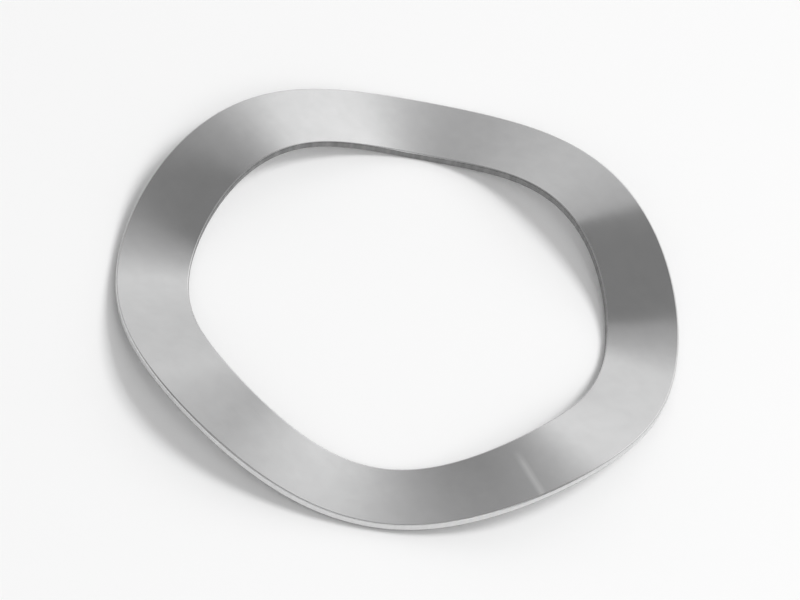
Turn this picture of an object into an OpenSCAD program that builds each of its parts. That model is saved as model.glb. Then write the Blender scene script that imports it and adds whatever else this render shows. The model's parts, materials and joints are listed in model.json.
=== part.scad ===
// Wave spring washer.
// A flat ring is blanked from thin spring strip, which leaves it slightly dished, and is pressed
// into even waves all the way round.
// It lies on its troughs with its axis along +Z, and a crest points along +X.
// Sizes are in millimetres and angles in degrees.

/* [Ring] */
// Outside diameter of the ring
outer_d = 34.5; // [30:0.5:50]
// Inside diameter of the ring, the hole that the shaft passes through
inner_d = 25.6; // [14:0.1:27]
// Rise of the rim over the edge of the hole, the slight dish that blanking leaves
dish_h = 0.15; // [0:0.01:0.3]

/* [Strip] */
// Thickness of the spring strip, measured square to its faces
strip_t = 0.5; // [0.3:0.05:0.8]
// Radius that breaks the four cut edges
edge_r = 0.1; // [0.05:0.01:0.12]

/* [Waves] */
// Number of waves in one turn
waves = 4; // [2:1:6]
// Free height of the unloaded washer, from its troughs to its crests
free_h = 2.35; // [1.2:0.05:3.5]

/* [Smoothness] */
// Straight steps along each wave
wave_steps = 40; // [24:4:60]
// Straight steps round each broken edge
edge_steps = 2; // [1:1:4]

/* [Hidden] */

outer_r = outer_d / 2;
inner_r = inner_d / 2;
mean_r = (outer_r + inner_r) / 2;
sections = waves * wave_steps;
// Least stock that the true round walls trim off the pressed strip
trim_stock = 0.01;
// Stock left on both walls of the pressed strip: the trim, and what its straight steps cut off the round
wall_stock = trim_stock + outer_r * (1 - cos(180 / sections));
// Radii at which the strip's faces end and its broken edges begin
face_out_r = outer_r + wall_stock - edge_r;
face_in_r = inner_r - wall_stock + edge_r;
// Rise of the dished strip per unit of radius
dish_slope = dish_h / (outer_r - inner_r);
// Height of the waves above and below the strip's mean level
wave_amp = (free_h - strip_t - dish_slope * (face_out_r - face_in_r)) / 2;
corner_points = edge_steps + 1;
section_points = 4 * corner_points;

// Level of the strip's middle surface at angle a and radius r
function strip_level(a, r) = free_h / 2 + wave_amp * cos(waves * a) + dish_slope * (r - mean_r);

// Rise of the strip per unit of length round the mean circle, at angle a
function wave_slope(a) = -wave_amp * waves * sin(waves * a) / mean_r;

// Half of the strip's thickness as it stands upright on the slope at angle a
function half_upright(a) = strip_t / 2 * sqrt(1 + pow(wave_slope(a), 2));

// One rounded corner of the strip's section, as [step towards the wall, drop from the face]
function corner(i) = let (turn = 90 * i / edge_steps) [edge_r * sin(turn), edge_r * (1 - cos(turn))];

// Closed outline of the strip's section, as [radius, height over its middle surface], where half is
// half of its upright thickness
function strip_section(half) = [
    for (i = [0 : edge_steps]) [face_out_r + corner(i)[0], half - corner(i)[1]],
    for (i = [edge_steps : -1 : 0]) [face_out_r + corner(i)[0], corner(i)[1] - half],
    for (i = [0 : edge_steps]) [face_in_r - corner(i)[0], corner(i)[1] - half],
    for (i = [edge_steps : -1 : 0]) [face_in_r - corner(i)[0], half - corner(i)[1]]
];

// The section carried round one full turn, riding up and down with the waves
module pressed_strip() {
    points = [
        for (s = [0 : sections - 1])
            let (a = 360 * s / sections)
                for (p = strip_section(half_upright(a)))
                    [p[0] * cos(a), p[0] * sin(a), strip_level(a, p[0]) + p[1]]
    ];
    function index(s, k) = (s % sections) * section_points + k % section_points;
    faces = [
        for (s = [0 : sections - 1], k = [0 : section_points - 1])
            each [
                [index(s, k), index(s + 1, k + 1), index(s, k + 1)],
                [index(s, k), index(s + 1, k), index(s + 1, k + 1)]
            ]
    ];
    polyhedron(points = points, faces = faces, convexity = 4);
}

// The blanked ring's true round walls, taller than the waves
module round_walls() {
    translate([0, 0, -free_h])
        difference() {
            cylinder(h = 3 * free_h, r = outer_r, $fn = 180);
            translate([0, 0, -free_h])
                cylinder(h = 5 * free_h, r = inner_r, $fn = 180);
        }
}

module wave_washer() {
    color([0.66, 0.66, 0.67])
        intersection() {
            pressed_strip();
            round_walls();
        }
}

wave_washer();
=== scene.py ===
"""Looks of the wave spring washer: a smooth strip ring in bright rolled steel, on a pale floor."""
import json
import math

import bpy
from mathutils import Matrix, Vector


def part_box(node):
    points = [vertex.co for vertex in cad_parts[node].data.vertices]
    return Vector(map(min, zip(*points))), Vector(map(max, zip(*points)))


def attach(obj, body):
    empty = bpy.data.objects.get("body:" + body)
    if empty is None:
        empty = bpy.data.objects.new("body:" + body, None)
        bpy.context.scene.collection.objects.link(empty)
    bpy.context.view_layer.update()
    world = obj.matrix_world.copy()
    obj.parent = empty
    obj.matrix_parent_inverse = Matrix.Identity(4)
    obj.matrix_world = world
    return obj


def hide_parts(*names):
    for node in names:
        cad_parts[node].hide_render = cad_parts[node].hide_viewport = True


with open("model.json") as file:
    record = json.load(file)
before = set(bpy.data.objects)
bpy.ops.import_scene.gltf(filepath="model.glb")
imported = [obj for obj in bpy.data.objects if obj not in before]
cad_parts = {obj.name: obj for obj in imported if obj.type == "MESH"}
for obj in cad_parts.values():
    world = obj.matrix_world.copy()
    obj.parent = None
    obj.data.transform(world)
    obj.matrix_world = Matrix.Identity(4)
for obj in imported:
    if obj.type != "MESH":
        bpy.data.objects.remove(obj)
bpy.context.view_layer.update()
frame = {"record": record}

MM = 0.001
NODE = "wave_washer"


def mount_radius(name):
    """Radius in metres that the record states for one of the washer's round walls."""
    mount = next(m for m in frame["record"]["mounts"] if m["name"] == name)
    return mount["dims"]["r_mm"] * MM


def grey(level):
    """Colour with one level in all its channels."""
    return (level, level, level, 1)


# Sizes of the washer, from the frame where it has them
LOW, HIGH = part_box(NODE)
OUTER_R = mount_radius("housing_rim")
INNER_R = mount_radius("shaft_hole")
MEAN_R = (OUTER_R + INNER_R) / 2
FREE_H = HIGH.z - LOW.z
MID_Z = LOW.z + FREE_H / 2
STRIP_T = 0.5 * MM
EDGE_R = 0.1 * MM
DISH_H = 0.15 * MM
DISH_SLOPE = DISH_H / (OUTER_R - INNER_R)
FACE_W = OUTER_R - INNER_R - 2 * EDGE_R
WAVES = 4
WAVE_AMP = (FREE_H - STRIP_T - DISH_SLOPE * FACE_W) / 2

# Fineness of the mesh
STEPS_ROUND = 720
STEPS_EDGE = 6
STEPS_FACE = 6
STEPS_WALL = 2
# Distance from each end of a face or wall to the row of points that keeps its shading flat up to there
HOLD = 0.02 * MM

# Indices of the washer's materials: its two faces, its bright cut edge, and its dull cut edge, whose dark
# colour is partly painted shade
FACE, SHEARED, DULL_AND_PAINTED_SHADE = range(3)

# The strip's finish: the range of its colour and of its roughness
STEEL_DARK = (0.605, 0.605, 0.607, 1)
STEEL_LIGHT = (0.635, 0.635, 0.637, 1)
STEEL_ROUGH = (0.12, 0.20)
# The cut edges: bright on the rim and the hole's upper lip, dull in the hole and along the underside. The
# dull edge's dark colour is partly a dull cut finish and partly painted shade in the hole, on the lower
# half of the hole's upper lip and under the rim
SHEARED_EDGE = {"dark": grey(0.69), "light": grey(0.75), "rough": (0.26, 0.34)}
DULL_AND_PAINTED_SHADE_EDGE = {"dark": grey(0.20), "light": grey(0.28), "rough": (0.38, 0.46)}
# Values of a noise between which a metal's colour runs from dark to light
DARK_AT = 0.3
LIGHT_AT = 0.7

# Noises, with their cells per millimetre along X, Y and Z
GRAIN = {"cells": (0.3, 9, 1), "detail": 4, "roughness": 0.6}
MOTTLE = {"cells": (0.9, 0.9, 0.9), "detail": 4, "roughness": 0.6}
UNEVEN = {"cells": (0.28, 0.28, 0.28), "detail": 2, "roughness": 0.5}
SHEAR = {"cells": (3, 3, 0.4), "detail": 2, "roughness": 0.5}
# Bumps that the noises raise
GRAIN_BUMP = {"strength": 0.05, "depth": 0.01 * MM}
UNEVEN_BUMP = {"strength": 0.02, "depth": 0.1 * MM}
SHEAR_BUMP = {"strength": 0.03, "depth": 0.02 * MM}

# A faint pale mark across the strip: its direction, how far its line passes beside the axis, its half
# width, where it starts along the line, over what length it fades in, and its finish
MARK_TURN = -12.3
MARK_SIDE = 0.85 * MM
MARK_HALF = 0.3 * MM
MARK_START = INNER_R + 0.7 * MM
MARK_FADE = 1.2 * MM
MARK_COLOUR = grey(0.80)
MARK_ROUGH = 0.24

# The photograph's station: polar angle and height of the camera round the washer, and its lean
CAMERA_POLAR = -48.48
CAMERA_ELEVATION = 48.00
CAMERA_LEAN = 13.09
CAMERA_DISTANCE = 392.7 * MM
# Nearest and farthest that the camera sees
CLIP_START = CAMERA_DISTANCE / 20
CLIP_END = CAMERA_DISTANCE * 50
PIXELS_ACROSS = 800
SENSOR = 36.0
# Pixels that one outer radius spans at the washer's distance
PIXELS_PER_RADIUS = 285

# Straight ahead in the picture as a polar angle, and the picture's right and up as (right, ahead, up)
AHEAD = CAMERA_POLAR + 180
RIGHT = (1, 0, 0)
UP = (0, 0, 1)

# Brightness of the studio's surround along its axis, from -1 at the axis's foot to 1 at its head
SURROUND_AXIS = (-0.204, -0.795, 1.0)
SURROUND = (
    (-0.62, 0.25), (-0.45, 0.50), (-0.33, 0.95), (0.0, 0.99), (0.2, 0.67), (0.35, 0.52), (0.45, 0.47),
    (0.55, 0.30), (0.7, 0.40), (0.9, 0.80), (1.0, 0.80),
)
# Factor on that brightness across the picture, from -1 at its left to 1 at its right
ACROSS = (
    (-1.0, 1.0), (-0.85, 0.75), (-0.65, 0.45), (-0.44, 0.65), (0.0, 1.0), (0.44, 1.35), (0.65, 1.0),
    (0.85, 0.6), (1.0, 0.9),
)
# A dark flag high on the right: the heights of its level edges, a vector square to its slanting edge,
# how far that edge is shifted, how soft the edges are, and the flag's brightness
FLAG_BOTTOM = 54.7
FLAG_TOP = 80
FLAG_EDGE = (0.735, -0.624, 0.266)
FLAG_SHIFT = -0.026
FLAG_SOFT = 0.03
FLAG_LEVEL = 0.28

# The floor: half its side, its colour, and the light that it adds where it is seen
FLOOR_HALF = 2.0
FLOOR_COLOUR = grey(0.9)
FLOOR_LIFT = 0.05

# Softboxes: turn to the right of straight ahead, height, width and height of the panel, and brightness.
# The key box throws the shadow, the fill box lightens it, and the rim box draws the bright line on the
# near rim. Only the rim box shows in reflections
BOX_DISTANCE = 0.8
KEY_BOX = {"turn": 75, "height": 54, "size": (0.3, 0.3), "level": 11.3, "mirrored": False}
FILL_BOX = {"turn": 153, "height": 50, "size": (0.46, 0.5), "level": 1, "mirrored": False}
RIM_BOX = {"turn": 153, "height": 45, "size": (0.1, 0.4), "level": 3.0, "mirrored": True}


def add_object(name, data):
    """A new object in the scene."""
    thing = bpy.data.objects.new(name, data)
    bpy.context.scene.collection.objects.link(thing)
    return thing


def direction(polar, elevation):
    """Unit vector at a polar angle round the washer's axis and a height above the floor, in degrees."""
    p = math.radians(polar)
    e = math.radians(elevation)
    return Vector((math.cos(p) * math.cos(e), math.sin(p) * math.cos(e), math.sin(e)))


def in_picture(vector):
    """Unit vector in the part's frame of one given as right, ahead and up in the picture."""
    right, ahead, up = vector
    level = direction(AHEAD - 90, 0) * right + direction(AHEAD, 0) * ahead
    return (level + Vector((0, 0, up))).normalized()


def strip_level(a, r):
    """Level of the strip's middle surface at angle a and radius r."""
    return MID_Z + WAVE_AMP * math.cos(WAVES * a) + DISH_SLOPE * (r - MEAN_R)


def half_upright(a):
    """Half of the strip's thickness as it stands upright on the slope at angle a."""
    slope = WAVE_AMP * WAVES * math.sin(WAVES * a) / MEAN_R
    return STRIP_T / 2 * math.hypot(1, slope)


def spread(start, end, steps):
    """Evenly spaced values from start up to, and without, end."""
    return [start + (end - start) * i / steps for i in range(steps)]


def held(start, end, steps):
    """Values from start up to, and without, end, with one more close to each end."""
    hold = math.copysign(HOLD, end - start)
    return [start] + spread(start + hold, end - hold, steps) + [end - hold]


def rounding(r, z, start, *finishes):
    """Quarter round about (r, z) from a start angle off upright, shared equally among the materials."""
    outline = []
    for i, turn in enumerate(spread(start, start + math.pi / 2, STEPS_EDGE)):
        finish = finishes[i * len(finishes) // STEPS_EDGE]
        outline.append((r + EDGE_R * math.sin(turn), z + EDGE_R * math.cos(turn), finish))
    return outline


def strip_section(half):
    """Closed outline of the strip's section as (radius, height over its middle, material index)."""
    inside = INNER_R + EDGE_R
    outside = OUTER_R - EDGE_R
    wall = half - EDGE_R
    quarter = math.pi / 2
    outline = [(r, half, FACE) for r in held(inside, outside, STEPS_FACE)]
    outline += rounding(outside, wall, 0, SHEARED)
    outline += [(OUTER_R, z, SHEARED) for z in held(wall, -wall, STEPS_WALL)]
    # Painted shade, partly a dull cut finish: the dark edge colour on the rim's lower rounding
    outline += rounding(outside, -wall, quarter, DULL_AND_PAINTED_SHADE)
    outline += [(r, -half, FACE) for r in held(outside, inside, STEPS_FACE)]
    # Painted shade, partly a dull cut finish: the dark edge colour on the hole's wall and the lower half
    # of its upper lip
    outline += rounding(inside, -wall, 2 * quarter, DULL_AND_PAINTED_SHADE)
    outline += [(INNER_R, z, DULL_AND_PAINTED_SHADE) for z in held(-wall, wall, STEPS_WALL)]
    outline += rounding(inside, wall, 3 * quarter, DULL_AND_PAINTED_SHADE, SHEARED)
    return outline


def washer_mesh():
    """The strip's section carried round one turn, riding on the waves."""
    points = []
    for step in range(STEPS_ROUND):
        a = 2 * math.pi * step / STEPS_ROUND
        section = strip_section(half_upright(a))
        points += [(r * math.cos(a), r * math.sin(a), strip_level(a, r) + z) for r, z, _ in section]
    count = len(section)
    faces = []
    for step in range(STEPS_ROUND):
        here = step * count
        there = (step + 1) % STEPS_ROUND * count
        for k in range(count):
            after = (k + 1) % count
            faces.append((here + k, here + after, there + after, there + k))
    mesh = bpy.data.meshes.new("wave_washer_skin")
    mesh.from_pydata(points, [], faces)
    mesh.polygons.foreach_set("material_index", [finish for _, _, finish in section] * STEPS_ROUND)
    mesh.polygons.foreach_set("use_smooth", [True] * len(faces))
    mesh.validate()
    mesh.update()
    return mesh


class Nodes:
    """Short names for building the node tree of a material or a world."""

    def __init__(self, owner, shader):
        owner.use_nodes = True
        self.tree = owner.node_tree
        self.shader = self.tree.nodes[shader]

    def fill(self, node, inputs):
        """Join each of a node's inputs to a socket, or set it to a plain value."""
        for key, value in inputs.items():
            if isinstance(value, bpy.types.NodeSocket):
                self.tree.links.new(value, node.inputs[key])
            else:
                node.inputs[key].default_value = value

    def add(self, kind, inputs, **settings):
        """The outputs of a new node."""
        node = self.tree.nodes.new(kind)
        for key, value in settings.items():
            setattr(node, key, value)
        self.fill(node, inputs)
        return node.outputs

    def calc(self, operation, *values):
        """One operation on one or two values."""
        return self.add("ShaderNodeMath", dict(enumerate(values)), operation=operation)["Value"]

    def remap(self, value, start, end, low, high):
        """A value between start and end, carried over to between low and high."""
        inputs = {"Value": value, "From Min": start, "From Max": end, "To Min": low, "To Max": high}
        return self.add("ShaderNodeMapRange", inputs)["Result"]

    def mix(self, factor, first, second, data_type):
        """The first value where the factor is zero and the second where it is one."""
        inputs = {"Factor": factor, "A": first, "B": second}
        return self.add("ShaderNodeMix", inputs, data_type=data_type)["Result"]

    def ramp(self, value, steps):
        """Colour that a row of (place, colour) steps gives a value between 0 and 1."""
        ramp = self.tree.nodes.new("ShaderNodeValToRGB")
        elements = ramp.color_ramp.elements
        while len(elements) < len(steps):
            elements.new(0.5)
        for element, (place, colour) in zip(elements, steps):
            element.position = place
            element.color = colour
        self.fill(ramp, {"Fac": value})
        return ramp.outputs["Color"]

    def placed(self, scale=(1, 1, 1), turn=0, shift=0):
        """Object coordinates stretched, turned about the axis and shifted along Y."""
        inputs = {
            "Vector": self.add("ShaderNodeTexCoord", {})["Object"],
            "Location": (0, shift, 0),
            "Rotation": (0, 0, math.radians(turn)),
            "Scale": scale,
        }
        return self.add("ShaderNodeMapping", inputs)["Vector"]

    def noise(self, cells, detail, roughness):
        """Noise that rides on the washer."""
        vector = self.placed([count / MM for count in cells])
        inputs = {"Vector": vector, "Scale": 1, "Detail": detail, "Roughness": roughness}
        return self.add("ShaderNodeTexNoise", inputs)["Fac"]

    def bump(self, height, strength, depth, under=None):
        """Normal of a surface that a height raises, over the normal of another bump if there is one."""
        inputs = {"Height": height, "Strength": strength, "Distance": depth}
        if under:
            inputs["Normal"] = under
        return self.add("ShaderNodeBump", inputs)["Normal"]


def mark_mask(nodes):
    """One along the faint mark, fading in from the hole's side, and zero elsewhere."""
    line = nodes.placed(turn=-MARK_TURN, shift=-MARK_SIDE)
    place = nodes.add("ShaderNodeSeparateXYZ", {"Vector": line})
    beside = nodes.remap(nodes.calc("ABSOLUTE", place["Y"]), 0, MARK_HALF, 1, 0)
    reach = nodes.remap(place["X"], MARK_START, MARK_START + MARK_FADE, 0, 1)
    return nodes.calc("MULTIPLY", beside, reach)


def metal_colour(nodes, noise, dark, light):
    """Colour that runs with a noise from dark to light."""
    return nodes.ramp(noise, ((DARK_AT, dark), (LIGHT_AT, light)))


def rolled_steel():
    """Bright cold-rolled strip: fine straight grain, a faint mottle, a slight unevenness and one mark."""
    material = bpy.data.materials.new("rolled_steel")
    nodes = Nodes(material, "Principled BSDF")
    grain = nodes.noise(**GRAIN)
    colour = metal_colour(nodes, nodes.noise(**MOTTLE), STEEL_DARK, STEEL_LIGHT)
    rough = nodes.remap(grain, 0, 1, *STEEL_ROUGH)
    fine = nodes.bump(grain, **GRAIN_BUMP)
    mark = mark_mask(nodes)
    nodes.fill(nodes.shader, {
        "Base Color": nodes.mix(mark, colour, MARK_COLOUR, "RGBA"),
        "Metallic": 1,
        "Roughness": nodes.mix(mark, rough, MARK_ROUGH, "FLOAT"),
        "Normal": nodes.bump(nodes.noise(**UNEVEN), **UNEVEN_BUMP, under=fine),
    })
    return material


def cut_edge(name, dark, light, rough):
    """Blanked edge, tumbled smooth, with faint upright shear marks."""
    material = bpy.data.materials.new(name)
    nodes = Nodes(material, "Principled BSDF")
    shear = nodes.noise(**SHEAR)
    nodes.fill(nodes.shader, {
        "Base Color": metal_colour(nodes, shear, dark, light),
        "Metallic": 1,
        "Roughness": nodes.remap(shear, 0, 1, *rough),
        "Normal": nodes.bump(shear, **SHEAR_BUMP),
    })
    return material


def pale_floor():
    """Matt floor that adds a little light where it is seen, directly or in the washer."""
    material = bpy.data.materials.new("pale_floor")
    nodes = Nodes(material, "Principled BSDF")
    ray = nodes.add("ShaderNodeLightPath", {})
    seen = nodes.calc("MAXIMUM", ray["Is Camera Ray"], ray["Is Glossy Ray"])
    seen = nodes.calc("MAXIMUM", seen, ray["Is Transmission Ray"])
    nodes.fill(nodes.shader, {
        "Base Color": FLOOR_COLOUR,
        "Roughness": 1,
        "Specular IOR Level": 0,
        "Emission Color": grey(1),
        "Emission Strength": nodes.calc("MULTIPLY", seen, FLOOR_LIFT),
    })
    return material


def build_washer():
    """The washer's one piece, in place of its CAD solid."""
    washer = add_object("wave_washer_skin", washer_mesh())
    washer.data.materials.append(rolled_steel())
    washer.data.materials.append(cut_edge("sheared_edge", **SHEARED_EDGE))
    # The dull cut edge: a dark colour that is partly painted shade
    washer.data.materials.append(cut_edge("dull_and_painted_shade_edge", **DULL_AND_PAINTED_SHADE_EDGE))
    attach(washer, "root")
    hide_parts(NODE)


def build_camera():
    """Camera at the photograph's viewing angle."""
    camera = add_object("camera", bpy.data.cameras.new("camera"))
    back = direction(CAMERA_POLAR, CAMERA_ELEVATION)
    place = Vector((0, 0, MID_Z)) + back * CAMERA_DISTANCE
    lean = Matrix.Rotation(math.radians(CAMERA_LEAN), 3, "Z")
    turn = (-back).to_track_quat("-Z", "Y").to_matrix() @ lean
    camera.matrix_world = Matrix.Translation(place) @ turn.to_4x4()
    focal_pixels = PIXELS_PER_RADIUS * CAMERA_DISTANCE / OUTER_R
    camera.data.sensor_width = SENSOR
    camera.data.lens = focal_pixels * SENSOR / PIXELS_ACROSS
    camera.data.clip_start = CLIP_START
    camera.data.clip_end = CLIP_END
    bpy.context.scene.camera = camera


def build_world():
    """Studio surround that is brighter and darker by direction, with the dark flag in it."""
    world = bpy.data.worlds.new("studio")
    bpy.context.scene.world = world
    nodes = Nodes(world, "Background")
    look = nodes.add("ShaderNodeTexCoord", {})["Generated"]

    def along(vector):
        """How far a ray points along a vector in the picture."""
        inputs = {0: look, 1: in_picture(vector)}
        return nodes.add("ShaderNodeVectorMath", inputs, operation="DOT_PRODUCT")["Value"]

    def levels(vector, steps):
        """Brightness that a row of (place, level) steps from -1 to 1 gives along a vector."""
        colours = [((place + 1) / 2, grey(level)) for place, level in steps]
        return nodes.ramp(nodes.remap(along(vector), -1, 1, 0, 1), colours)

    def edge(vector, place):
        """Zero before a place along a vector and one after it, with a soft edge."""
        return nodes.remap(along(vector), place - FLAG_SOFT / 2, place + FLAG_SOFT / 2, 0, 1)

    def above(height):
        """Zero below a height in degrees and one above it, with a soft edge."""
        return edge(UP, math.sin(math.radians(height)))

    lit = nodes.calc("MULTIPLY", levels(SURROUND_AXIS, SURROUND), levels(RIGHT, ACROSS))
    band = nodes.calc("SUBTRACT", above(FLAG_BOTTOM), above(FLAG_TOP))
    flag = nodes.calc("MULTIPLY", band, edge(FLAG_EDGE, FLAG_SHIFT))
    nodes.fill(nodes.shader, {"Color": grey(1), "Strength": nodes.mix(flag, lit, FLAG_LEVEL, "FLOAT")})


def build_floor():
    """Square floor at the height of the washer's foot."""
    mesh = bpy.data.meshes.new("floor")
    h = FLOOR_HALF
    corners = [(-h, -h, LOW.z), (h, -h, LOW.z), (h, h, LOW.z), (-h, h, LOW.z)]
    mesh.from_pydata(corners, [], [(0, 1, 2, 3)])
    floor = add_object("floor", mesh)
    mesh.materials.append(pale_floor())


def build_softbox(name, turn, height, size, level, mirrored):
    """Lamp panel that faces the washer."""
    panel = bpy.data.lights.new(name, "AREA")
    panel.shape = "RECTANGLE"
    panel.size, panel.size_y = size
    panel.energy = level * math.pi * panel.size * panel.size_y
    lamp = add_object(name, panel)
    lamp.visible_glossy = mirrored
    towards = direction(AHEAD - turn, height)
    lamp.location = towards * BOX_DISTANCE
    lamp.rotation_mode = "QUATERNION"
    lamp.rotation_quaternion = (-towards).to_track_quat("-Z", "Y")


bpy.context.scene.view_settings.view_transform = "Standard"
build_washer()
build_camera()
build_world()
build_floor()
build_softbox("key_box", **KEY_BOX)
build_softbox("fill_box", **FILL_BOX)
build_softbox("rim_box", **RIM_BOX)
